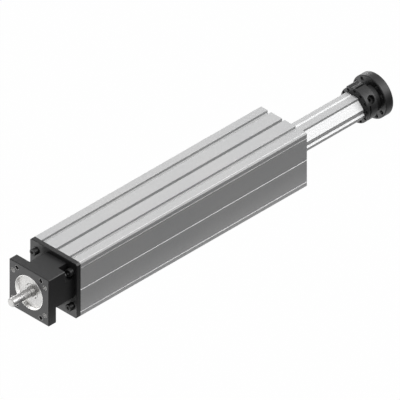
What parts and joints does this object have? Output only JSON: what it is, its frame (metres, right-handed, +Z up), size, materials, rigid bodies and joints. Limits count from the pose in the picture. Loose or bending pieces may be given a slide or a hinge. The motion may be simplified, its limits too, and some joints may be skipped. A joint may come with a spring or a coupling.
{
  "type": "ball screw linear module",
  "caption": "Square aluminium frame with an enclosed ball screw that pushes a feed bar with a round adapter out of one end; motor flange and bare drive shaft at the other.",
  "frame": {"origin": "on the screw axis at the front face of the drive flange", "axes": "+X along the module from the drive shaft towards the adapter, +Z up"},
  "size_m": [0.544, 0.07, 0.07],
  "materials": {
    "anodised_aluminium": "satin anodised",
    "black_anodised": "black anodised",
    "black_screw_steel": "black oxide",
    "turned_steel": "turned",
    "bearing_steel": "ground",
    "seal_rubber": "matte",
    "guide_plastic": "moulded"
  },
  "bodies": {
    "frame": {"frame_profile": "anodised_aluminium", "end_plate": "black_anodised", "end_plate_screws": "black_screw_steel", "drive_housing": "black_anodised", "housing_screws": "black_screw_steel", "bearing_cover": "turned_steel", "bearing_outer_rings": "bearing_steel", "shaft_seal": "seal_rubber", "guide_rail": "bearing_steel", "rail_screws": "black_screw_steel", "front_cover": "anodised_aluminium", "front_cover_screws": "black_screw_steel", "feed_guide": "guide_plastic", "feed_wiper": "seal_rubber", "wiper_plate": "turned_steel", "wiper_screws": "black_screw_steel", "rear_buffer": "seal_rubber", "front_buffer": "seal_rubber"},
    "screw": {"ball_screw": "turned_steel", "bearing_inner_rings": "bearing_steel", "bearing_balls": "bearing_steel", "lock_nut": "turned_steel", "screw_end_bush": "guide_plastic", "screw_end_ring": "turned_steel"},
    "feed": {"feed_profile": "anodised_aluminium", "ball_nut": "bearing_steel", "nut_return_cap": "guide_plastic", "nut_balls": "bearing_steel", "nut_seals": "seal_rubber", "nut_screws": "black_screw_steel", "nut_carrier": "anodised_aluminium", "bar_set_screws": "black_screw_steel", "runner_block": "bearing_steel", "runner_end_caps": "guide_plastic", "runner_screws": "black_screw_steel", "bar_end_plug": "turned_steel", "adapter": "black_anodised", "adapter_set_screws": "black_screw_steel", "adapter_bolt": "black_screw_steel"}
  },
  "joints": [
    {"name": "feed_slide", "type": "slide", "parent": "frame", "child": "feed", "axis": [1, 0, 0], "range_m": [-0.09, 0.13]},
    {"name": "screw_spin", "type": "hinge", "parent": "frame", "child": "screw", "pos_m": [0, 0, 0], "axis": [1, 0, 0], "range_deg": [-2926, 2026]}
  ],
  "couplings": [
    {"joint": "screw_spin", "follows": "feed_slide", "rad_per_m": -392.7}
  ]
}
